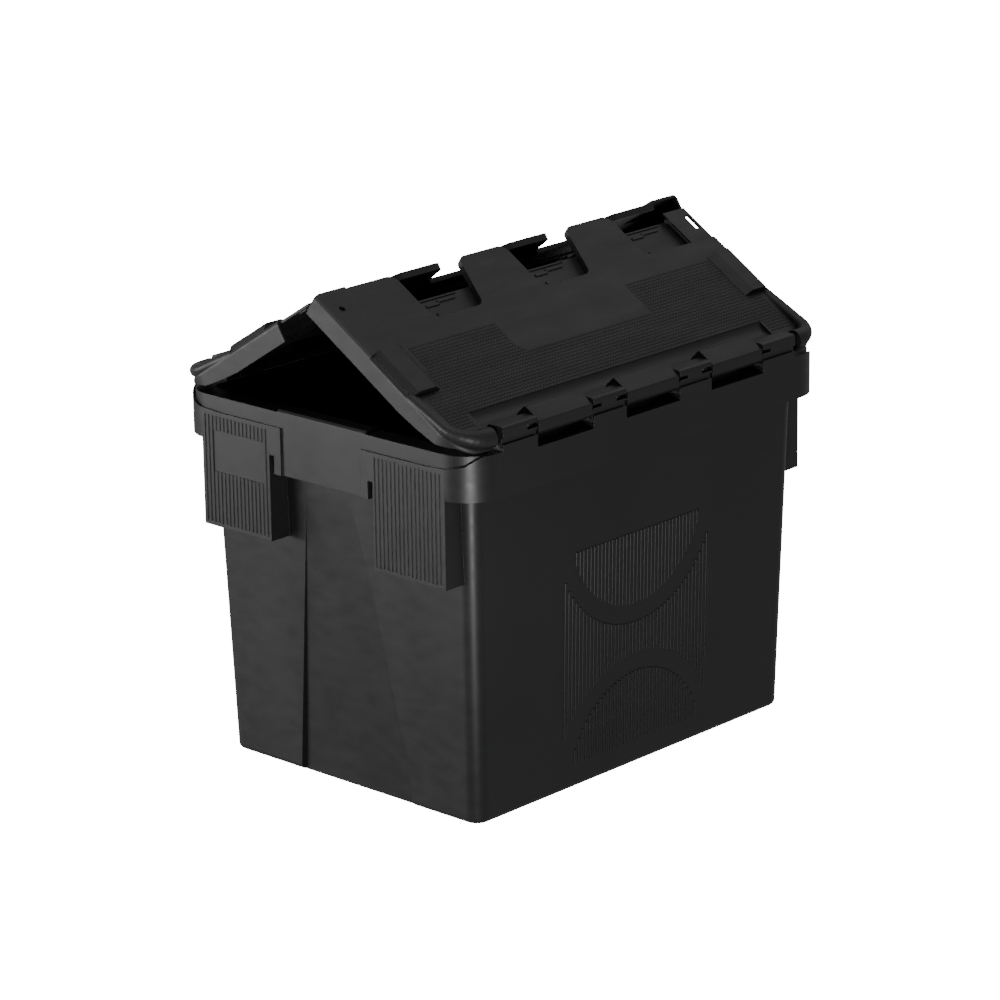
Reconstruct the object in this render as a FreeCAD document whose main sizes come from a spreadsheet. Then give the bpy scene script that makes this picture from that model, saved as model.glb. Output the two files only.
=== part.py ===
import FreeCAD, Part
import math
import os

import Sketcher

# Attached lid tote: one tub, two identical interlocking lid halves, two hinge rods.
# Frame: +X along the 400 side, +Y along the 300 side, +Z up, origin under the middle
# of the base.  Everything on the tub is unchanged by half a turn about Z.
# Lid frame: x along the hinge, y from the hinge towards the middle, z up, origin on
# the hinge axis.

doc = FreeCAD.newDocument("AttachedLidTote")
sheet = doc.addObject("Spreadsheet::Sheet", "Sizes")

SIZES = {
    # tub shell
    "wall": 2.8, "floor": 3.2, "base_half_x": 174.0, "base_half_y": 128.3,
    "draft_x": 0.0313, "draft_y": 0.0242, "shell_round": 12.0, "foot_round": 4.5,
    # collar band and the inset rim that the lids close over
    "band_half_x": 198.5, "band_half_y": 150.0, "band_round": 28.0, "band_low": 254.0,
    "rim_top": 287.8, "rim_inset": 1.7, "rim_peak": 289.9, "rim_peak_half": 45.0,
    "crease": 276.3, "grip_half": 41.0, "lip_low": 240.0, "lip_half": 48.0,
    # hinge
    "hinge_y": 142.3, "hinge_z": 298.0, "knuckle": 7.7, "rod": 2.0, "bore": 2.08,
    "hinge_near": 164.5, "hinge_far": 162.0, "strap_pitch": 96.0, "strap_shift": -2.0,
    "strap_half": 28.5, "pocket_half": 30.0, "pocket_low": 283.0,
    # end panels
    "panel_in": 53.0, "panel_out": 124.0, "panel_low": 187.0, "panel_top": 273.0,
    "groove": 0.6, "rib_pitch": 4.0,
    # front and rear rib pattern
    "rib_relief": 0.6, "pattern_half": 83.0, "disc_z": 203.0, "disc_in": 73.5,
    "disc_out": 89.0, "dome_in": 74.5, "dome_out": 90.0,
    # trapezoid recess in each end wall
    "recess": 4.0, "recess_top": 222.0,
    # lids
    "lid_half": 200.0, "lid_top": -4.0, "lid_skin": 2.6, "lid_start": 12.0,
    "notch": 117.5, "finger": 165.5, "finger_step": 59.0, "finger_gap": 0.75,
    "finger_lean": 0.34, "finger_round": 8.0, "skirt": 2.5, "skirt_low": -20.5,
    "skirt_end": 164.5, "far_end": 118.5, "edge_round": 3.5,
    "ledge_top": -10.5, "ledge_skin": 2.5, "ledge_reach": 141.0, "ledge_far": 149.0,
    "barrel": 7.5, "roll_in": 169.6, "seal_x": 189.0, "seal_y": 146.5, "seal_hole": 2.5,
    "corner_round": 28.0, "roll_inset": 0.12, "lip_foot": -9.3, "bump_top": 4.6, "rest_tilt": 32.3,
}
for row, (alias, number) in enumerate(SIZES.items(), start=1):
    sheet.set(f"A{row}", alias)
    sheet.set(f"B{row}", str(number))
    sheet.setAlias(f"B{row}", alias)
doc.recompute()


def sized(text):
    """Turn {word} in an expression into a reference to that size."""
    return str(text).replace("{", "Sizes.").replace("}", "")


def value(text):
    """Number that an expression has now."""
    result = sheet.evalExpression(sized(text))
    return float(getattr(result, "Value", result))


def box(name, x, y, z):
    """Box from low to high expressions along each axis."""
    solid = doc.addObject("Part::Box", name)
    spans = (("Length", "x", x), ("Width", "y", y), ("Height", "z", z))
    for side, axis, (low, high) in spans:
        solid.setExpression(side, sized(f"({high}) - ({low})"))
        solid.setExpression(f"Placement.Base.{axis}", sized(low))
    return solid


def rod_along_x(name, radius, x, y, z):
    """Cylinder lying along X between two expressions."""
    solid = doc.addObject("Part::Cylinder", name)
    solid.setExpression("Radius", sized(radius))
    solid.setExpression("Height", sized(f"({x[1]}) - ({x[0]})"))
    solid.Placement.Rotation = FreeCAD.Rotation(FreeCAD.Vector(0, 1, 0), 90)
    solid.setExpression("Placement.Base.x", sized(x[0]))
    solid.setExpression("Placement.Base.y", sized(y))
    solid.setExpression("Placement.Base.z", sized(z))
    return solid


def joined(name, solids):
    fused = doc.addObject("Part::MultiFuse", name)
    fused.Shapes = solids
    return fused


def grouped(name, solids):
    """Solids kept side by side, to be used as one cutting tool."""
    group = doc.addObject("Part::Compound", name)
    group.Links = solids
    return group


def cut(name, base, tool):
    result = doc.addObject("Part::Cut", name)
    result.Base = base
    result.Tool = tool
    return result


def common(name, first, second):
    result = doc.addObject("Part::Common", name)
    result.Base = first
    result.Tool = second
    return result


def turned(source):
    """The same solid after half a turn about Z."""
    link = doc.addObject("App::Link", source.Name + "_turned")
    link.LinkedObject = source
    link.LinkTransform = True
    link.Placement = FreeCAD.Placement(FreeCAD.Vector(), FreeCAD.Rotation(180, 0, 0))
    return link


def sketch_on(body, name, role, height):
    """Sketch on an origin plane of a body, lifted along the plane's normal."""
    sketch = body.newObject("Sketcher::SketchObject", name)
    plane = [item for item in body.Origin.OriginFeatures if item.Role == role][0]
    sketch.AttachmentSupport = [(plane, "")]
    sketch.MapMode = "FlatFace"
    sketch.setExpression("AttachmentOffset.Base.z", sized(height))
    return sketch


def draw_polygon(sketch, corners):
    """Closed polygon whose corners are pairs of expressions."""
    spots = [FreeCAD.Vector(value(u), value(v), 0) for u, v in corners]
    count = len(spots)
    for index in range(count):
        sketch.addGeometry(Part.LineSegment(spots[index], spots[(index + 1) % count]))
    for index in range(count):
        following = (index + 1) % count
        sketch.addConstraint(Sketcher.Constraint("Coincident", index, 2, following, 1))
    for index, (u, v) in enumerate(corners):
        for kind, text, number in (("DistanceX", u, spots[index].x), ("DistanceY", v, spots[index].y)):
            place = sketch.addConstraint(Sketcher.Constraint(kind, -1, 1, index, 1, number))
            sketch.setExpression(f"Constraints[{place}]", sized(text))


def round_edges(body, base, pick, radius):
    """Fillet every edge of the base feature for which pick(edge) is true."""
    doc.recompute()
    names = [f"Edge{i}" for i, edge in enumerate(base.Shape.Edges, start=1) if pick(edge)]
    fillet = body.newObject("PartDesign::Fillet", body.Name + "_round")
    fillet.Base = (base, names)
    fillet.setExpression("Radius", sized(radius))
    body.Tip = fillet
    return fillet


def upright(edge):
    """True for an edge that runs mostly along Z."""
    first, last = edge.Vertexes[0].Point, edge.Vertexes[-1].Point
    rise = abs(last.z - first.z)
    return rise > 1.0 and rise > 5.0 * math.hypot(last.x - first.x, last.y - first.y)


def prism(name, role, corners, low, high):
    """Pad of a polygon on an origin plane between two levels along that axis."""
    body = doc.addObject("PartDesign::Body", name)
    start = low if role != "XZ_Plane" else f"-({high})"
    sketch = sketch_on(body, name + "_outline", role, start)
    draw_polygon(sketch, corners)
    pad = body.newObject("PartDesign::Pad", name + "_pad")
    pad.Profile = sketch
    pad.setExpression("Length", sized(f"({high}) - ({low})"))
    body.Tip = pad
    return body


def rectangle(half_x, half_y):
    return [(f"-({half_x})", f"-({half_y})"), (half_x, f"-({half_y})"),
            (half_x, half_y), (f"-({half_x})", half_y)]


def rounded_block(name, half_x, half_y, low, high, radius):
    """Straight-sided block with rounded upright edges."""
    body = prism(name, "XY_Plane", rectangle(half_x, half_y), low, high)
    round_edges(body, body.Tip, upright, radius)
    return body


def tapered_block(name, inset, low, high, corner, foot):
    """Block that follows the drafted tub walls at a given inset."""
    body = doc.addObject("PartDesign::Body", name)
    wedge = body.newObject("PartDesign::AdditiveWedge", name + "_wedge")
    wedge.Placement.Rotation = FreeCAD.Rotation(FreeCAD.Vector(1, 0, 0), 90)
    sizes = {"Ymin": low, "Ymax": high}
    for mark, level in (("", low), ("2", high)):
        half_x = "{base_half_x} + {draft_x} * (" + level + ") - (" + inset + ")"
        half_y = "{base_half_y} + {draft_y} * (" + level + ") - (" + inset + ")"
        sizes[f"X{mark}max"] = half_x
        sizes[f"X{mark}min"] = f"-({half_x})"
        sizes[f"Z{mark}max"] = half_y
        sizes[f"Z{mark}min"] = f"-({half_y})"
    for prop, text in sizes.items():
        wedge.setExpression(prop, sized(text))
    body.Tip = wedge
    corners = round_edges(body, wedge, upright, corner)
    bottom = value(low)
    round_edges(body, corners, lambda edge: edge.BoundBox.ZMax < bottom + 0.01, foot)
    return body


# ---------------------------------------------------------------- tub shell
shell = tapered_block("shell", "0", "0", "{rim_top}", "{shell_round}", "{foot_round}")
interior = tapered_block("interior", "{wall}", "{floor}", "{rim_top} + 20",
                         "{shell_round} - {wall}", "{foot_round} + 1.5")
band = rounded_block("band", "{band_half_x}", "{band_half_y}", "{band_low}", "{rim_top}",
                     "{band_round}")
channel = rounded_block("channel", "{band_half_x} - {wall} - {rim_inset}",
                        "{band_half_y} - {wall}", "{band_low} - 5", "{rim_top} - {wall}",
                        "{band_round} - {wall} - {rim_inset}")
collar = cut("collar", band, channel)

# webs across the hollow channel of the long sides, seen as faint upright sink lines
web_places = (-158, -73, -29, 13, 70, 139)
webs = [box(f"web{i}", (f"{x} - 1.1", f"{x} + 1.1"), ("-{band_half_y} + 1", "-{base_half_y} - 4"),
            ("{band_low} + 6", "{rim_top} - 1")) for i, x in enumerate(web_places)]

# the hinge wall: a bar with rounded top edges that stands round the hinge axis
hinge_span = ("-{hinge_near}", "{hinge_far}")
wall_front, wall_back = "-{hinge_y} - {knuckle}", "-{hinge_y} + {knuckle}"
wall_low, wall_top = "{pocket_low} - {wall}", "{hinge_z} + {knuckle}"
hinge_wall = prism("hinge_wall", "YZ_Plane", [(wall_front, wall_low), (wall_back, wall_low),
                                              (wall_back, wall_top), (wall_front, wall_top)], *hinge_span)
round_edges(hinge_wall, hinge_wall.Tip,
            lambda edge: edge.BoundBox.XLength > 50 and edge.BoundBox.ZMin > value("{hinge_z}"), "2.8")

# strap pockets, the exposed rod either side of each, and hollows inside the knuckles
pockets = []
for i in (-1, 0, 1):
    middle = f"{i} * " + "{strap_pitch} + {strap_shift}"
    west = f"{middle} - " + "{pocket_half}"
    east = f"{middle} + " + "{pocket_half}"
    pockets.append(box(f"pocket{i + 1}", (west, east), ("-{band_half_y} - 2", "-{hinge_y} + 11.5"),
                       ("{rim_top}", "{hinge_z} + 20")))
    pockets.append(box(f"pocket_foot{i + 1}", (west, east),
                       ("-{band_half_y} - 2", "-{hinge_y} + {knuckle} - 0.4"),
                       ("{pocket_low}", "{rim_top} + 1")))
    pockets.append(box(f"window_w{i + 1}", (f"{west} - 11", f"{west} + 1"),
                       ("-{band_half_y} - 2", "-{hinge_y} - 1"), ("{hinge_z} + 0.2", "{hinge_z} + 3.8")))
    pockets.append(box(f"window_e{i + 1}", (f"{east} - 1", f"{east} + 9"),
                       ("-{band_half_y} - 2", "-{hinge_y} - 1"), ("{hinge_z} + 0.2", "{hinge_z} + 2.6")))
pocket_edges = []
for i in (-1, 0, 1):
    pocket_edges += [f"{i} * " + "{strap_pitch} + {strap_shift} - {pocket_half}",
                     f"{i} * " + "{strap_pitch} + {strap_shift} + {pocket_half}"]
bounds = ["-{hinge_near}"] + pocket_edges + ["{hinge_far}"]
for i in range(0, len(bounds), 2):
    pockets.append(box(f"knuckle_hollow{i}", (bounds[i] + " + {wall}", bounds[i + 1] + " - {wall}"),
                       ("-{hinge_y} - {knuckle} + {wall}", "-{hinge_y} + {knuckle} - {wall}"),
                       ("{pocket_low} - 20", "{hinge_z} - 7")))
rod_bore = rod_along_x("rod_bore", "{bore}", ("-{hinge_near} + 1.5", "{hinge_far} + 2"),
                       "-{hinge_y}", "{hinge_z}")

# ---------------------------------------------------------------- one end of the tub (-X)
end_adds = []
end_cuts = []
for side, sign in (("far", 1), ("near", -1)):
    span = ("{panel_in}", "{panel_out}") if sign > 0 else ("-{panel_out}", "-{panel_in}")
    end_adds.append(box(f"panel_{side}", ("-{band_half_x}", "-{band_half_x} + {wall} + 0.5"), span,
                        ("{panel_low}", "{band_low} + 8")))
    for tag, edge in (("in", "{panel_in}"), ("out", "{panel_out}")):
        low = f"{sign} * " + edge + (" - {wall}" if (tag == "in") == (sign < 0) else "")
        end_adds.append(box(f"return_{side}_{tag}", ("-{band_half_x} + 0.4", "-{base_half_x} - 5"),
                            (low, low + " + {wall}"), ("{panel_low}", "{rim_top} - 1")))

# grip: a lip that hangs below the band in the middle, with its face set back to the rim
end_adds.append(box("grip_lip", ("-{band_half_x}", "-{band_half_x} + {rim_inset} + {wall}"),
                    ("-{lip_half}", "{lip_half}"), ("{lip_low}", "{rim_top} - 1")))
end_adds.append(prism("rim_peak", "XZ_Plane",
                      [("-{band_half_x} + {rim_inset}", "{rim_top} - 1"), ("-182.4", "{rim_top} - 1"),
                       ("-182.4", "{rim_peak} - 0.8"), ("-183.4", "{rim_peak}"),
                       ("-{band_half_x} + {rim_inset} + 1.6", "{rim_peak}"),
                       ("-{band_half_x} + {rim_inset}", "{rim_peak} - 1.6")],
                      "-{rim_peak_half}", "{rim_peak_half}"))
end_cuts.append(box("grip_face", ("-{band_half_x} - 1", "-{band_half_x} + {rim_inset}"),
                    ("-{grip_half}", "{grip_half}"), ("{lip_low} - 1", "{rim_top} + 9")))

# label space in the far panel, and the upright grooves that leave ribs between them
label = box("label_space", ("-{band_half_x} - 1", "-{band_half_x} + {groove} + 0.3"),
            ("59", "113"), ("230", "262"))
end_cuts.append(label)
groove_total = int((value("{panel_out}") - value("{panel_in}")) / value("{rib_pitch}"))
grooves = []
for side, sign in (("far", 1), ("near", -1)):
    for i in range(groove_total):
        middle = f"{sign} * (" + "{panel_in} + {rib_pitch} * " + f"({i} + 0.7))"
        grooves.append(box(f"groove_{side}{i}", ("-{band_half_x} - 1", "-{band_half_x} + {groove}"),
                           (f"{middle} - 1", f"{middle} + 1"), ("{panel_low} + 3", "{panel_top}")))

# trapezoid recess; the wall steps inwards with it, so it keeps its thickness
recess_sides = [("53.4", "-1"), ("36", "189"), ("33", "{recess_top}"), ("-13", "{recess_top}"),
                ("-30.5", "164"), ("-38.5", "125"), ("-59", "36"), ("-63", "-1")]
recess_face = [("-{base_half_x} - 20", "-1"), ("-{base_half_x} + {recess}", "-1"),
               ("-{base_half_x} - {draft_x} * {recess_top}", "{recess_top}"),
               ("-{base_half_x} - 20", "{recess_top}")]
wall_face = [("-{base_half_x} - 20", "-1"), ("-{base_half_x} + {recess} + {wall}", "-1"),
             ("-{base_half_x} - {draft_x} * {recess_top} + {wall}", "{recess_top}"),
             ("-{base_half_x} - 20", "{recess_top}")]
wide_sides = [("56.4", "-1"), ("39", "189"), ("36", "{recess_top} + 3"), ("-15.5", "{recess_top} + 3"),
              ("-33.5", "163"), ("-41.5", "124"), ("-62", "35"), ("-66", "-1")]
recess_cut = common("recess_cut", prism("recess_sides", "YZ_Plane", recess_sides, "-200", "-150"),
                    prism("recess_face", "XZ_Plane", recess_face, "-80", "80"))
recess_keep = common("recess_keep", prism("keep_sides", "YZ_Plane", wide_sides, "-200", "-150"),
                     prism("keep_face", "XZ_Plane", wall_face, "-80", "80"))

# ---------------------------------------------------------------- band top edge
# above the crease the band steps in, so the lid skirts close outside the rim;
# the crease climbs round the corners and runs out at the hinge side
step_block = rounded_block("step_block", "{band_half_x} - {rim_inset}", "{band_half_y} - {rim_inset}",
                           "{crease} - 5", "{rim_top} + 20", "{band_round}")
crease_line = [("{grip_half}", "{crease}"), ("104", "{crease}"), ("126", "{crease} + 1.3"),
               ("139", "{crease} + 4.4"), ("148", "{rim_top} + 0.5"), ("152", "{rim_top} + 9"),
               ("{grip_half}", "{rim_top} + 9")]
step_far = prism("step_far", "YZ_Plane", crease_line, "-205", "205")
step_near = prism("step_near", "YZ_Plane", [(f"-({u})", v) for u, v in crease_line], "-205", "205")
step_tool = cut("step_tool", joined("step_both", [step_far, step_near]), step_block)


# ---------------------------------------------------------------- front rib pattern
def rib_spans(x):
    """Heights between which the rib at x stands proud of the front wall."""
    def reach(radius):
        return math.sqrt(max(radius * radius - x * x, 0.0))
    spans = []
    if abs(x) < value("{disc_in}"):
        spans.append((value("{disc_z}") - reach(value("{disc_in}")), 185.0))
    if reach(value("{dome_in}")) > 19.0:
        spans.append((19.0, reach(value("{dome_in}"))))
    top_gap = value("{disc_z}") - reach(value("{disc_out}"))
    spans.append((reach(value("{dome_out}")), top_gap))
    return [(low, high) for low, high in spans if high - low > 1.5]


def rib_solid(x, low, high):
    """One upright rib with a half-round front, leaning with the wall."""
    def wall_y(level):
        return -(value("{base_half_y}") + value("{draft_y}") * level)
    relief = value("{rib_relief}")
    corners = [FreeCAD.Vector(x - 1.1, 1.0, 0), FreeCAD.Vector(x - 0.9, -relief, 0),
               FreeCAD.Vector(x + 0.9, -relief, 0), FreeCAD.Vector(x + 1.1, 1.0, 0)]
    base = FreeCAD.Vector(0, wall_y(low), low)
    face = Part.Face(Part.makePolygon([base + spot for spot in corners + corners[:1]]))
    return face.extrude(FreeCAD.Vector(0, wall_y(high) - wall_y(low), high - low))


rib_half_count = int(value("{pattern_half} / {rib_pitch}"))
rib_solids = []
for step in range(-rib_half_count, rib_half_count + 1):
    place = step * value("{rib_pitch}")
    rib_solids += [rib_solid(place, low, high) for low, high in rib_spans(place)]
pattern = doc.addObject("Part::Feature", "front_pattern")
pattern.Shape = Part.makeCompound(rib_solids)

# ---------------------------------------------------------------- tub assembly
half_adds = webs + [hinge_wall] + end_adds
blank = joined("tub_blank", [shell, collar] + half_adds + [turned(item) for item in half_adds])
room = cut("room", interior, grouped("recess_walls", [recess_keep, turned(recess_keep)]))
hollowed = cut("hollowed", blank, room)
half_cuts = pockets + [rod_bore, recess_cut] + end_cuts
shaped = cut("shaped", hollowed, grouped("tub_cuts", half_cuts + [turned(item) for item in half_cuts]
                                         + [step_tool]))
ribbed_ends = cut("ribbed_ends", shaped, grouped("all_grooves", grooves
                                                 + [turned(item) for item in grooves]))
tub = joined("tub", [ribbed_ends, pattern, turned(pattern)])

# ---------------------------------------------------------------- lid half
def leaning(edge, level):
    """x of the leaning side of a finger at a distance from the hinge."""
    return f"{edge} + " + "{finger_lean} * (" + level + " - 138)"


def along_y(edge, level):
    """True for an edge along Y at a height, to within a hair."""
    box_of = edge.BoundBox
    return box_of.YLength > 5 and box_of.XLength < 0.01 and abs(box_of.Center.z - level) < 0.01


tip_s, notch_s = "{finger}", "{notch}"
right_1 = "-2 * {finger_step} - {finger_gap}"
right_2 = "-{finger_gap}"
right_3 = "2 * {finger_step} - {finger_gap}"
outline = [("-{lid_half}", "-{knuckle}"), ("-{roll_in}", "-{knuckle}"), ("-{roll_in}", "{lid_start}"),
           ("{roll_in}", "{lid_start}"), ("{roll_in}", "-{knuckle}"), ("{lid_half}", "-{knuckle}"),
           ("{lid_half}", "{far_end}"), (right_3, "{far_end}"), (right_3, tip_s),
           (leaning("{finger_step}", tip_s), tip_s), (leaning("{finger_step}", notch_s), notch_s),
           (right_2, notch_s), (right_2, tip_s), (leaning("-{finger_step}", tip_s), tip_s),
           (leaning("-{finger_step}", notch_s), notch_s), (right_1, notch_s), (right_1, tip_s),
           ("-{lid_half}", tip_s)]
slab = prism("slab", "XY_Plane", outline, "{skirt_low}", "{lid_top}")
round_edges(slab, slab.Tip, lambda edge: upright(edge) and edge.BoundBox.YMin > 100
            and abs(edge.BoundBox.XMin) < 150, "{finger_round}")
round_edges(slab, slab.Tip, lambda edge: upright(edge) and edge.BoundBox.YMin < 0
            and abs(edge.BoundBox.XMin) > 180, "{corner_round}")
round_edges(slab, slab.Tip, lambda edge: along_y(edge, value("{lid_top}"))
            and abs(abs(edge.BoundBox.Center.x) - value("{lid_half}")) < 0.01, "{edge_round}")

# a rolled corner starts as a barrel on the hinge line, turns the corner and sinks into the
# end edge; each ring is (turn round the corner in degrees, run beyond it, radius, top height)
corner_rings = ((0, -2.4, 7.6, 7.6), (0, 0, 7.6, 7.6), (10, 0, 7.4, 7.6), (20, 0, 6.9, 7.4), (30, 0, 6.3, 7.0),
                (40, 0, 5.8, 6.4), (50, 0, 5.4, 5.6), (60, 0, 5.1, 4.6), (70, 0, 4.9, 3.5),
                (80, 0, 4.7, 2.4), (90, 0, 4.6, 1.5), (90, 10, 4.6, 0.5), (90, 22, 4.6, -0.8),
                (90, 38, 4.6, -2.6))


def corner_roll(tag, sign):
    """Chain of round sections that follows the rounded corner of the lid."""
    centre_x = value("{lid_half} - {corner_round}")
    centre_s = value("{corner_round} - {knuckle}")
    rings = []
    for i, (turn, run, radius, top) in enumerate(corner_rings):
        angle = math.radians(turn)
        reach = value("{corner_round} - {roll_inset}") - radius
        ahead_x, ahead_s = math.cos(angle), math.sin(angle)
        x = centre_x + reach * ahead_s + run * ahead_x
        s = centre_s - reach * ahead_x + run * ahead_s
        ring = doc.addObject("Part::Circle", f"ring_{tag}{i}")
        ring.Radius = radius
        along = FreeCAD.Vector(sign * ahead_x, ahead_s, 0)
        up = FreeCAD.Vector(0, 0, 1)
        ring.Placement = FreeCAD.Placement(FreeCAD.Vector(sign * x, s, top - radius),
                                           FreeCAD.Rotation(up, along.cross(up), along, "ZXY"))
        rings.append(ring)
    roll = doc.addObject("Part::Loft", f"corner_roll_{tag}")
    roll.Sections = rings
    roll.Solid = True
    roll.Ruled = True
    return roll


body_blank = joined("body_blank", [slab, corner_roll("w", -1), corner_roll("e", 1)])
under = prism("under", "XY_Plane", [("-{lid_half} + {skirt}", "-{knuckle} + {skirt}"),
                                    ("{lid_half} - {skirt}", "-{knuckle} + {skirt}"),
                                    ("{lid_half} - {skirt}", "{notch} - 2"),
                                    ("-{lid_half} + {skirt}", "{notch} - 2")],
              "{skirt_low} - 5", "{lid_top} - {lid_skin}")
round_edges(under, under.Tip, lambda edge: upright(edge) and edge.BoundBox.YMin < 0,
            "{corner_round} - {skirt}")
under_tips = box("under_tips", ("-{lid_half} + {skirt}", "{lid_half} - {skirt}"),
                 ("{notch} - 3", "200"), ("{skirt_low} - 5", "{lip_foot}"))


def under_finger(tag, west_low, west_high, east):
    """Hollow below one finger; the tip and sides keep a lip."""
    return prism(f"under_finger{tag}", "XY_Plane",
                 [(west_low, "{notch} - 2"), (f"{east} - 2.2", "{notch} - 2"),
                  (f"{east} - 2.2", "{finger} - 9"), (f"{east} - 9", "{finger} - 2.2"),
                  (f"{west_high} + 5", "{finger} - 2.2"), (f"{west_high}", "{finger} - 6")],
                 "{lip_foot} - 2", "{lid_top} - {lid_skin}")


under_fingers = [under_finger("1", "-{lid_half} + {skirt}", "-{lid_half} + {skirt}", right_1)]
for tag, edge, east in (("2", "-{finger_step}", right_2), ("3", "{finger_step}", right_3)):
    under_fingers.append(under_finger(tag, leaning(edge, notch_s) + " + 2.4",
                                      leaning(edge, tip_s) + " + 0.4", east))
skirt_foot = prism("skirt_foot", "YZ_Plane",
                   [("-20", "{skirt_low} - 9"), ("170", "{skirt_low} - 9"), ("170", "{skirt_low}"),
                    ("58", "{skirt_low}"), ("38", "-18.8"), ("20", "-16"), ("12", "-12"), ("5", "-8.2"),
                    ("-4", "-8"), ("-7.8", "-4.5"), ("-20", "-4.5")], "-210", "210")
plate = cut("plate", body_blank, grouped("plate_cuts", [under, under_tips, skirt_foot] + under_fingers))

lid_adds = [plate]
# straps: a barrel about the rod, a flat top that runs back to the plate, a flat front
for i in (-1, 0, 1):
    span = (f"{i} * " + "{strap_pitch} + {strap_shift} - {strap_half}",
            f"{i} * " + "{strap_pitch} + {strap_shift} + {strap_half}")
    lid_adds.append(rod_along_x(f"barrel{i + 1}", "{barrel}", span, "0", "0"))
    lid_adds.append(prism(f"strap{i + 1}", "YZ_Plane",
                          [("-4", "{barrel}"), ("11.2", "{barrel}"), ("12.6", "{barrel} - 1.4"),
                           ("13.6", "1"), ("16", "-3.6"), ("19", "-5.4"),
                           ("19", "{lid_top} - 4.4"), ("3", "-6.8"), ("-5.6", "-6"), ("-7.4", "-4"),
                           ("-8.5", "0.4"), ("-5", "6.6")], *span))

# under the channel along the hinge the plate is backed
lid_adds.append(box("channel_back", ("-{hinge_near} - 2", "{hinge_far} + 2"), ("{lid_start}", "31"),
                    ("{lid_top} - 5.4", "{lid_top} - {lid_skin} + 0.2")))

# a deeper rib along the hinge closes the gap above the tub wall while the lid stands open
lid_adds.append(box("hinge_rib", ("-{hinge_near} + 4", "{hinge_far} - 4"), ("{lid_start}", "{lid_start} + 2.2"),
                    ("-15", "{lid_top} - 2")))

# ledges in the notches carry the other half's fingers; each has a riser, a side wall under the
# leaning side of the next finger, a rim along its tip and small raised pads
ledges = (("1", "-2 * {finger_step} + 0.4", "-{finger_step}", "{ledge_reach}"),
          ("2", "0.4", "{finger_step}", "{ledge_reach}"),
          ("3", "2 * {finger_step} + 0.4", None, "{ledge_far}"))
for tag, west, edge, reach in ledges:
    foot = "{notch} - {ledge_skin}"
    if edge is None:
        east_low = east_high = "172.5"
    else:
        east_low, east_high = leaning(edge, foot) + " + 2.2", leaning(edge, reach) + " + 2.2"
        lid_adds.append(prism(f"ledge_side{tag}", "XY_Plane",
                              [(f"{east_low} - 2", foot), (east_low, foot), (east_high, reach),
                               (f"{east_high} - 2", reach)], "{ledge_top} - {ledge_skin}", "{lid_top} - 1"))
    lid_adds.append(prism(f"ledge{tag}", "XY_Plane",
                          [(west, foot), (east_low, foot), (east_high, reach), (west, reach)],
                          "{ledge_top} - {ledge_skin}", "{ledge_top}"))
    lid_adds.append(box(f"riser{tag}", (west, east_low), (foot, "{notch}"),
                        ("{ledge_top} - {ledge_skin}", "{lid_top} - 1")))
    pads = (("3", "44", f"{reach} - 2.2", f"{reach} - 0.8"), ("9", "22", f"{reach} - 8.5", f"{reach} - 6"),
            ("22", "40", f"{reach} - 6.5", f"{reach} - 4"), ("26", "42", "{notch} + 1", "{notch} + 5"),
            ("12", "18", "{notch} + 2", "{notch} + 8"))
    for i, (low_x, high_x, low_s, high_s) in enumerate(pads):
        lid_adds.append(box(f"ledge_pad{tag}_{i}", (f"{west} + {low_x}", f"{west} + {high_x}"),
                            (low_s, high_s), ("{ledge_top} - 1", "{ledge_top} + 0.8")))

# the raised part with the seal slot, at the far end of the last notch
lid_adds.append(box("slot_deck", ("172", "{lid_half} - {skirt} - 0.5"), ("{notch} - {ledge_skin}", "154"),
                    ("-7.2", "-5.2")))
lid_adds.append(prism("slot_ramp", "XZ_Plane",
                      [("168.5", "{ledge_top} - {ledge_skin}"), ("176", "{ledge_top} - {ledge_skin}"),
                       ("176", "-5.2"), ("173", "-5.2"), ("171.2", "-7.4"), ("170.9", "{ledge_top}"),
                       ("168.5", "{ledge_top}")],
                      "{notch} - {ledge_skin}", "{ledge_far}"))

# strip with the seal hole on the first finger
lid_adds.append(prism("seal_strip", "XZ_Plane",
                      [("-{lid_half}", "-8"), ("-{lid_half}", "-5.4"), ("-199", "-3.2"), ("-196.8", "-2"),
                       ("-170.2", "-2"), ("-169", "-3.2"), ("-169", "-4.6"),
                       ("-{lid_half} + {skirt}", "-4.6"), ("-{lid_half} + {skirt}", "-8")],
                      "100", "{finger}"))
seal_relief = box("seal_relief", ("-{lid_half} + {skirt}", "-170.5"), ("128", "170"), ("-12", "-4.6"))

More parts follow.
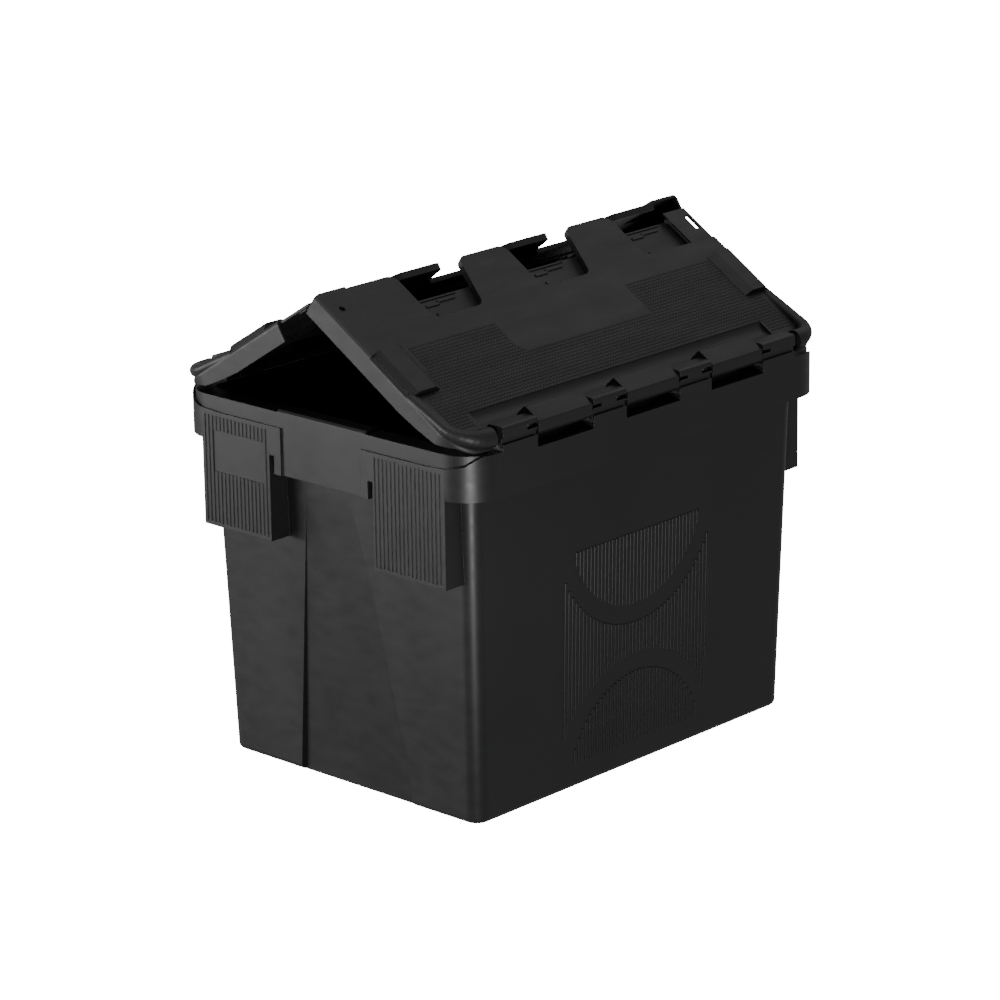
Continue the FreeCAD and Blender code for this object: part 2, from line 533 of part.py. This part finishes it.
# a rounded bump on each end edge, hollow underneath
bump_rooms = []
for tag, sign, foot in (("w", -1, "164"), ("e", 1, "167")):
    corners = [("{lid_half}", "-7"), ("{lid_half}", "{bump_top}"), (f"{foot} + 8", "{bump_top}"),
               (foot, "-3.6"), (foot, "-7")]
    bump = prism(f"bump_{tag}", "XZ_Plane", [(f"{sign} * ({u})", v) for u, v in corners], "53", "103")
    round_edges(bump, bump.Tip, lambda edge: along_y(edge, value("{bump_top}"))
                and abs(edge.BoundBox.Center.x) > 190, "10")
    round_edges(bump, bump.Tip, lambda edge: along_y(edge, value("{bump_top}"))
                and abs(edge.BoundBox.Center.x) < 190, "12")
    round_edges(bump, bump.Tip, lambda edge: edge.BoundBox.YLength < 0.01
                and edge.BoundBox.ZMax > value("{bump_top}") - 0.01
                and edge.BoundBox.ZMin > 0, "1.8")
    lid_adds.append(bump)
    room_corners = [("{lid_half} - {skirt}", "-8"), ("{lid_half} - {skirt}", "-4"),
                    ("{lid_half} - 7", "{bump_top} - 4"), (f"{foot} + 11", "{bump_top} - 4"),
                    (f"{foot} + 4", "-4"), (f"{foot} + 4", "-8")]
    bump_rooms.append(prism(f"bump_room_{tag}", "XZ_Plane",
                            [(f"{sign} * ({u})", v) for u, v in room_corners], "55.5", "100.5"))

# stiffening ribs below the plate
for i in range(3):
    spot = f"38 + {i} * 31"
    lid_adds.append(box(f"cross_rib{i}", ("-160", "160"), (f"{spot} - 0.9", f"{spot} + 0.9"),
                        ("{lid_top} - 8", "{lid_top} - 1")))
for i in range(-3, 4):
    spot = f"{i} * 46 + 6"
    lid_adds.append(box(f"long_rib{i + 3}", (f"{spot} - 0.9", f"{spot} + 0.9"), ("20", "{notch} - 1"),
                        ("{lid_top} - 7", "{lid_top} - 1")))

lid_blank = joined("lid_blank", lid_adds)
channel_roll = rod_along_x("channel_roll", "15", ("-{hinge_near} + 1", "{hinge_far} - 1"),
                           "21", "{lid_top} + 12.6")
channel_front = cut("channel_front", channel_roll,
                    grouped("strap_clear", [box(f"strap_clear{i + 1}",
                                                (f"{i} * " + "{strap_pitch} + {strap_shift} - {strap_half}",
                                                 f"{i} * " + "{strap_pitch} + {strap_shift} + {strap_half}"),
                                                ("-20", "14.2"), ("-20", "40")) for i in (-1, 0, 1)]))
seal_hole = doc.addObject("Part::Cylinder", "seal_hole")
seal_hole.setExpression("Radius", sized("{seal_hole}"))
seal_hole.Height = 20
seal_hole.setExpression("Placement.Base.x", sized("-{seal_x}"))
seal_hole.setExpression("Placement.Base.y", sized("{seal_y}"))
seal_hole.Placement.Base.z = -14
slot = box("seal_slot", ("{seal_x} + 0.6", "{seal_x} + 5.4"), ("131", "146"), ("-12", "0"))
strap_bore = rod_along_x("strap_bore", "{bore}", ("-165", "165"), "0", "0")
rim_relief = box("rim_relief", ("176", "{lid_half} - {skirt}"), ("{notch} - 3", "{far_end} + 1"),
                 ("-12", "-7.3"))
lid_tools = grouped("lid_tools", [channel_front, seal_hole, slot, strap_bore, seal_relief, rim_relief]
                    + bump_rooms)

lid_front = cut("lid_front", lid_blank, lid_tools)
lid_rear = cut("lid_rear", lid_blank, lid_tools)
tilt = FreeCAD.Rotation(FreeCAD.Vector(1, 0, 0), value("{rest_tilt}"))
front_place = FreeCAD.Placement(FreeCAD.Vector(0, -value("{hinge_y}"), value("{hinge_z}")), tilt)
half_turn = FreeCAD.Placement(FreeCAD.Vector(), FreeCAD.Rotation(180, 0, 0))
lid_front.Placement = front_place
lid_rear.Placement = half_turn.multiply(front_place)

# ---------------------------------------------------------------- hinge rods
rod_span = ("-{hinge_near} + 2", "{hinge_far} - 0.5")
hinge_rod_front = rod_along_x("hinge_rod_front", "{rod}", rod_span, "-{hinge_y}", "{hinge_z}")
rear_span = ("-{hinge_far} + 0.5", "{hinge_near} - 2")
hinge_rod_rear = rod_along_x("hinge_rod_rear", "{rod}", rear_span, "{hinge_y}", "{hinge_z}")

# ---------------------------------------------------------------- checks and files
doc.recompute()
for item in doc.Objects:
    if "Invalid" in item.State or "Error" in item.State:
        raise RuntimeError(f"{item.Name} did not compute: {item.State}")
os.makedirs("parts", exist_ok=True)
for node in (tub, lid_front, lid_rear, hinge_rod_front, hinge_rod_rear):
    node.Label = node.Name
    shape = node.Shape
    if shape.isNull() or not shape.isValid() or len(shape.Solids) != 1:
        raise RuntimeError(f"{node.Label}: solids {len(shape.Solids)}, valid {shape.isValid()}")
    solid = shape.Solids[0]
    solid.exportStep(f"parts/{node.Label}.step")
    print(node.Label, "volume", round(solid.Volume / 1000.0, 1), "cm3", solid.BoundBox)
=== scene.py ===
import math

import bpy
from mathutils import Matrix, Vector


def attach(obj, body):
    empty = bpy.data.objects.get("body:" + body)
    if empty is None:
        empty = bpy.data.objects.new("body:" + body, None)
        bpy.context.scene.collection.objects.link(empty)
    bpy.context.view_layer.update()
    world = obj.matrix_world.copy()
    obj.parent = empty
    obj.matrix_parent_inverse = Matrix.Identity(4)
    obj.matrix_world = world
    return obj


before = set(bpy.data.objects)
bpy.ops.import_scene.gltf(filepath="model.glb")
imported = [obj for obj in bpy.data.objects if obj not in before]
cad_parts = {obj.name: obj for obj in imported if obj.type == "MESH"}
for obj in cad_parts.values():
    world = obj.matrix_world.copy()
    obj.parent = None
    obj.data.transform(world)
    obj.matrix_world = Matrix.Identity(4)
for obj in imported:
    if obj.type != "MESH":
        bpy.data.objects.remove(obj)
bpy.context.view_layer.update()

MM = 0.001    # lid and rib sizes are in millimetres, floor, lights and camera in metres
HINGE_Y, HINGE_Z = 142.3, 298.0
REST_TILT = math.radians(32.3)
LID_TOP = -4.0


# ---------------------------------------------------------------- materials
def new_material(name):
    material = bpy.data.materials.new(name)
    material.use_nodes = True
    nodes = material.node_tree.nodes
    shader = nodes["Principled BSDF"]
    return material, nodes, material.node_tree.links, shader


def noise_node(nodes, links, coords, scale, detail=4.0, stretch=(1.0, 1.0, 1.0)):
    """Noise on object coordinates, stretched along chosen axes."""
    mapping = nodes.new("ShaderNodeMapping")
    mapping.inputs["Scale"].default_value = stretch
    noise = nodes.new("ShaderNodeTexNoise")
    noise.inputs["Scale"].default_value = scale
    noise.inputs["Detail"].default_value = detail
    links.new(coords.outputs["Object"], mapping.inputs["Vector"])
    links.new(mapping.outputs["Vector"], noise.inputs["Vector"])
    return noise


def ranged(nodes, links, source, low, high, start=0.3, stop=0.7):
    """A value between low and high that follows the source."""
    span = nodes.new("ShaderNodeMapRange")
    span.inputs["From Min"].default_value = start
    span.inputs["From Max"].default_value = stop
    span.inputs["To Min"].default_value = low
    span.inputs["To Max"].default_value = high
    links.new(source, span.inputs["Value"])
    return span.outputs["Result"]


def moulded_plastic(name, dark, light, gloss, grain):
    """Black moulded polypropylene: faint flow marks, fine grain, softly rounded edges."""
    material, nodes, links, shader = new_material(name)
    coords = nodes.new("ShaderNodeTexCoord")
    flow = noise_node(nodes, links, coords, 9.0, 3.0, (1.0, 1.0, 0.45))
    scuff = noise_node(nodes, links, coords, 60.0, 5.0, (0.35, 1.0, 2.2))
    fine = noise_node(nodes, links, coords, 2600.0, 2.0)

    tint = nodes.new("ShaderNodeMix")
    tint.data_type = "RGBA"
    tint.inputs["A"].default_value = (*dark, 1.0)
    tint.inputs["B"].default_value = (*light, 1.0)
    links.new(ranged(nodes, links, flow.outputs["Fac"], 0.0, 1.0), tint.inputs["Factor"])
    links.new(tint.outputs["Result"], shader.inputs["Base Color"])

    blend = nodes.new("ShaderNodeMath")
    blend.operation = "ADD"
    rough = ranged(nodes, links, flow.outputs["Fac"], gloss - 0.03, gloss + 0.04)
    links.new(rough, blend.inputs[0])
    links.new(ranged(nodes, links, scuff.outputs["Fac"], -0.03, 0.05), blend.inputs[1])
    links.new(blend.outputs["Value"], shader.inputs["Roughness"])

    rounded = nodes.new("ShaderNodeBevel")
    rounded.samples = 6
    rounded.inputs["Radius"].default_value = 0.4 * MM
    bump = nodes.new("ShaderNodeBump")
    bump.inputs["Strength"].default_value = grain
    bump.inputs["Distance"].default_value = 0.05 * MM
    links.new(fine.outputs["Fac"], bump.inputs["Height"])
    links.new(rounded.outputs["Normal"], bump.inputs["Normal"])
    links.new(bump.outputs["Normal"], shader.inputs["Normal"])
    shader.inputs["Specular IOR Level"].default_value = 0.30
    return material


def drawn_steel(name):
    """Bright drawn wire with fine lines along its length."""
    material, nodes, links, shader = new_material(name)
    coords = nodes.new("ShaderNodeTexCoord")
    lines = noise_node(nodes, links, coords, 900.0, 3.0, (0.02, 1.0, 1.0))
    tint = nodes.new("ShaderNodeMix")
    tint.data_type = "RGBA"
    tint.inputs["A"].default_value = (0.42, 0.43, 0.45, 1.0)
    tint.inputs["B"].default_value = (0.68, 0.69, 0.71, 1.0)
    links.new(ranged(nodes, links, lines.outputs["Fac"], 0.0, 1.0), tint.inputs["Factor"])
    links.new(tint.outputs["Result"], shader.inputs["Base Color"])
    links.new(ranged(nodes, links, lines.outputs["Fac"], 0.2, 0.36), shader.inputs["Roughness"])
    bump = nodes.new("ShaderNodeBump")
    bump.inputs["Strength"].default_value = 0.15
    bump.inputs["Distance"].default_value = 0.03 * MM
    links.new(lines.outputs["Fac"], bump.inputs["Height"])
    links.new(bump.outputs["Normal"], shader.inputs["Normal"])
    shader.inputs["Metallic"].default_value = 1.0
    return material


DARK, LIGHT = (0.0045, 0.0045, 0.0047), (0.0075, 0.0075, 0.0078)
tub_plastic = moulded_plastic("tub_plastic", DARK, LIGHT, gloss=0.39, grain=0.2)
lid_plastic = moulded_plastic("lid_plastic", DARK, LIGHT, gloss=0.47, grain=0.2)
rod_steel = drawn_steel("rod_steel")


def dress(node, material):
    """Give a CAD node its finished material."""
    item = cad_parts[node]
    if not item.material_slots:
        item.data.materials.append(material)
    for spot in item.material_slots:
        spot.material = material


dress("tub", tub_plastic)
for node in ("lid_front", "lid_rear"):
    dress(node, lid_plastic)
for node in ("hinge_rod_front", "hinge_rod_rear"):
    dress(node, rod_steel)


# ---------------------------------------------------------------- lid place
def lid_matrix(rear):
    """Lid frame (x along the hinge, y towards the middle, z up) to the row frame, in metres."""
    turn = Matrix.Rotation(math.pi, 4, "Z") if rear else Matrix.Identity(4)
    place = Matrix.Translation(Vector((0.0, -HINGE_Y * MM, HINGE_Z * MM)))
    return turn @ place @ Matrix.Rotation(REST_TILT, 4, "X")


def mesh_piece(name, verts, faces, material, body, matrix=None):
    """Mesh object from lists in millimetres, put into the row frame."""
    mesh = bpy.data.meshes.new(name)
    mesh.from_pydata([Vector(v) * MM for v in verts], [], faces)
    if matrix is not None:
        mesh.transform(matrix)
    mesh.update()
    mesh.materials.append(material)
    piece = bpy.data.objects.new(name, mesh)
    bpy.context.scene.collection.objects.link(piece)
    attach(piece, body)
    return piece


# ---------------------------------------------------------------- fine grid on the lid tops
GRID_PITCH = 2.95
STUD_FOOT, STUD_TOP = 1.05, 0.83            # half widths of a stud
STUD_LOW, STUD_HIGH = LID_TOP - 0.05, LID_TOP + 0.32
GRID_COLUMNS, GRID_ROWS = range(-64, 65), range(5, 35)

# where the grid lies: x along the hinge, s from the hinge towards the middle
GRID_END = 186.5
GRID_START, GRID_STOP = 17.5, 99.5
CORNER_CUT = 20.0                           # the grid slopes away at one corner below this s
PLAIN_AREAS = (                             # x from, x to, s from, s to
    (-167.5, 164.5, 0.0, 29.5),
    (-200.0, -162.8, 74.0, 120.0),
    (-200.0, -167.0, 54.0, 120.0),
    (174.0, 200.0, 65.0, 120.0),
)
FIELD_HALF, FIELD_START, FIELD_CORNER = 72.0, 66.5, 12.0


def in_field(x, s):
    """True on the plain field in the middle, which has one rounded corner."""
    if abs(x) >= FIELD_HALF or s <= FIELD_START:
        return False
    beside = max(0.0, FIELD_CORNER - FIELD_HALF - x)
    before = max(0.0, FIELD_START + FIELD_CORNER - s)
    return math.hypot(beside, before) < FIELD_CORNER


def in_grid(x, s):
    """True where the lid top carries the fine moulded grid."""
    if not GRID_START <= s <= GRID_STOP:
        return False
    if not max(0.0, CORNER_CUT - s) - GRID_END < x < GRID_END:
        return False
    if any(x0 < x < x1 and s0 < s < s1 for x0, x1, s0, s1 in PLAIN_AREAS):
        return False
    return not in_field(x, s)


def grid_piece(name, body, matrix):
    """Small raised studs in rows and columns on one lid half."""
    verts, faces = [], []
    for i in GRID_COLUMNS:
        for j in GRID_ROWS:
            x, s = i * GRID_PITCH, j * GRID_PITCH
            if not in_grid(x, s):
                continue
            base = len(verts)
            for half, level in ((STUD_FOOT, STUD_LOW), (STUD_TOP, STUD_HIGH)):
                verts += [(x - half, s - half, level), (x + half, s - half, level),
                          (x + half, s + half, level), (x - half, s + half, level)]
            faces.append((base + 4, base + 5, base + 6, base + 7))
            for k in range(4):
                n = (k + 1) % 4
                faces.append((base + k, base + n, base + 4 + n, base + 4 + k))
    return mesh_piece(name, verts, faces, lid_plastic, body, matrix)


grid_piece("lid_front_grid", "lid_front", lid_matrix(False))
grid_piece("lid_rear_grid", "lid_rear", lid_matrix(True))


# ---------------------------------------------------------------- round beads on the wall ribs
BASE_HALF_Y, DRAFT_Y = 128.3, 0.0242    # half width at the base, and its growth with height
RIB_PITCH, RIB_HALF_COUNT = 4.0, 20
DISC_Z, DISC_IN, DISC_OUT, DOME_IN, DOME_OUT = 203.0, 73.5, 89.0, 74.5, 90.0
RIB_TOP, RIB_FOOT = 185.0, 19.0
SHORTEST_RIB = 1.5
BEAD_OVERRUN = 0.4    # how far a bead runs past each end of its rib
# across a rib: along the wall, and out from it (negative)
BEAD_PROFILE = ((-1.4, 0.05), (-1.2, -0.35), (-0.95, -0.62), (-0.35, -0.78),
                (0.35, -0.78), (0.95, -0.62), (1.2, -0.35), (1.4, 0.05))


def rib_spans(x):
    """Height ranges of the rib at x, between the two arcs."""
    def reach(radius):
        return math.sqrt(max(radius * radius - x * x, 0.0))
    spans = [(reach(DOME_OUT), DISC_Z - reach(DISC_OUT))]
    if abs(x) < DISC_IN:
        spans.append((DISC_Z - reach(DISC_IN), RIB_TOP))
    if reach(DOME_IN) > RIB_FOOT:
        spans.append((RIB_FOOT, reach(DOME_IN)))
    return [(low, high) for low, high in spans if high - low > SHORTEST_RIB]


def bead_piece(name, matrix):
    """A rounded front along every rib of one long wall."""
    verts, faces = [], []
    count = len(BEAD_PROFILE)
    for step in range(-RIB_HALF_COUNT, RIB_HALF_COUNT + 1):
        x = step * RIB_PITCH
        for low, high in rib_spans(x):
            base = len(verts)
            for level in (low - BEAD_OVERRUN, high + BEAD_OVERRUN):
                wall_y = -(BASE_HALF_Y + DRAFT_Y * level)
                verts += [(x + dx, wall_y + dy, level) for dx, dy in BEAD_PROFILE]
            for k in range(count - 1):
                faces.append((base + k, base + k + 1, base + count + k + 1, base + count + k))
            # the caps have corners of their own, so that they don't bend the sides' shading
            verts += verts[base:base + 2 * count]
            faces.append(tuple(range(base + 3 * count - 1, base + 2 * count - 1, -1)))
            faces.append(tuple(range(base + 3 * count, base + 4 * count)))
    piece = mesh_piece(name, verts, faces, tub_plastic, "tub", matrix)
    for face in piece.data.polygons:
        face.use_smooth = len(face.vertices) == 4
    return piece


bead_piece("front_rib_beads", None)
bead_piece("rear_rib_beads", Matrix.Rotation(math.pi, 4, "Z"))


# ---------------------------------------------------------------- floor, light, camera
FLOOR_HALF, FLOOR_GLOW, WORLD_LIGHT = 30.0, 20.0, 0.42


def plane_piece(name, half, material):
    """Square at height zero."""
    mesh = bpy.data.meshes.new(name)
    mesh.from_pydata([(-half, -half, 0), (half, -half, 0), (half, half, 0), (-half, half, 0)], [],
                     [(0, 1, 2, 3)])
    mesh.materials.append(material)
    piece = bpy.data.objects.new(name, mesh)
    bpy.context.scene.collection.objects.link(piece)
    return piece


def pale_floor():
    """Almost white, with a faint cloudy variation."""
    material, nodes, links, shader = new_material("pale_floor")
    coords = nodes.new("ShaderNodeTexCoord")
    cloud = noise_node(nodes, links, coords, 1.5, 2.0)
    tint = nodes.new("ShaderNodeMix")
    tint.data_type = "RGBA"
    tint.inputs["A"].default_value = (0.90, 0.90, 0.90, 1.0)
    tint.inputs["B"].default_value = (0.93, 0.93, 0.93, 1.0)
    links.new(cloud.outputs["Fac"], tint.inputs["Factor"])
    links.new(tint.outputs["Result"], shader.inputs["Base Color"])
    shader.inputs["Roughness"].default_value = 0.9
    links.new(tint.outputs["Result"], shader.inputs["Emission Color"])
    shader.inputs["Emission Strength"].default_value = FLOOR_GLOW
    return material


# the floor is bright for the camera and stays out of the black plastic's reflections
floor = plane_piece("floor", FLOOR_HALF, pale_floor())
floor.visible_glossy = False
floor.visible_diffuse = False

world = bpy.data.worlds.new("studio")
world.use_nodes = True
world.node_tree.nodes["Background"].inputs["Color"].default_value = (1.0, 1.0, 1.0, 1.0)
world.node_tree.nodes["Background"].inputs["Strength"].default_value = WORLD_LIGHT
bpy.context.scene.world = world


def soft_light(name, place, target, size, power):
    """Rectangular area light aimed at a spot; metres and watts."""
    data = bpy.data.lights.new(name, "AREA")
    data.shape = "RECTANGLE"
    data.size, data.size_y = size
    data.energy = power
    lamp = bpy.data.objects.new(name, data)
    bpy.context.scene.collection.objects.link(lamp)
    lamp.location = place
    aim = Vector(target) - Vector(place)
    lamp.rotation_euler = aim.to_track_quat("-Z", "Y").to_euler()
    lamp.visible_camera = False
    return lamp


soft_light("key_left", (-2.9, 2.45, 0.22), (-0.15, 0.05, 0.15), (2.6, 0.4), 145.0)
soft_light("top_soft", (-0.2, 0.3, 2.8), (0.0, 0.0, 0.2), (2.2, 2.2), 24.0)
soft_light("right_high", (2.2, 0.0, 2.4), (0.0, 0.0, 0.3), (1.6, 1.6), 5.0)
soft_light("corner_strip", (-0.56, -0.54, 0.11), (-0.19, -0.14, 0.25), (0.10, 0.18), 4.0)

CAMERA_PLACE = (-2.29810, -2.13422, 1.16550)
ROLL = math.radians(-0.8304)
# the camera's own axes, from where it looks and how far it is rolled
forward = Vector((0.6981, 0.6505, -0.2991)).normalized()
flat_right = Vector((0.6817, -0.7316, 0.0)).normalized()
flat_up = flat_right.cross(forward)
right = math.cos(ROLL) * flat_right + math.sin(ROLL) * flat_up
up = -math.sin(ROLL) * flat_right + math.cos(ROLL) * flat_up
camera_data = bpy.data.cameras.new("camera")
camera_data.sensor_width = 36.0
camera_data.lens = 155.17
camera_data.clip_end = 100.0
camera = bpy.data.objects.new("camera", camera_data)
camera.matrix_world = Matrix((
    (right.x, up.x, -forward.x, CAMERA_PLACE[0]),
    (right.y, up.y, -forward.y, CAMERA_PLACE[1]),
    (right.z, up.z, -forward.z, CAMERA_PLACE[2]),
    (0, 0, 0, 1)))
bpy.context.scene.collection.objects.link(camera)
bpy.context.scene.camera = camera

bpy.context.view_layer.update()
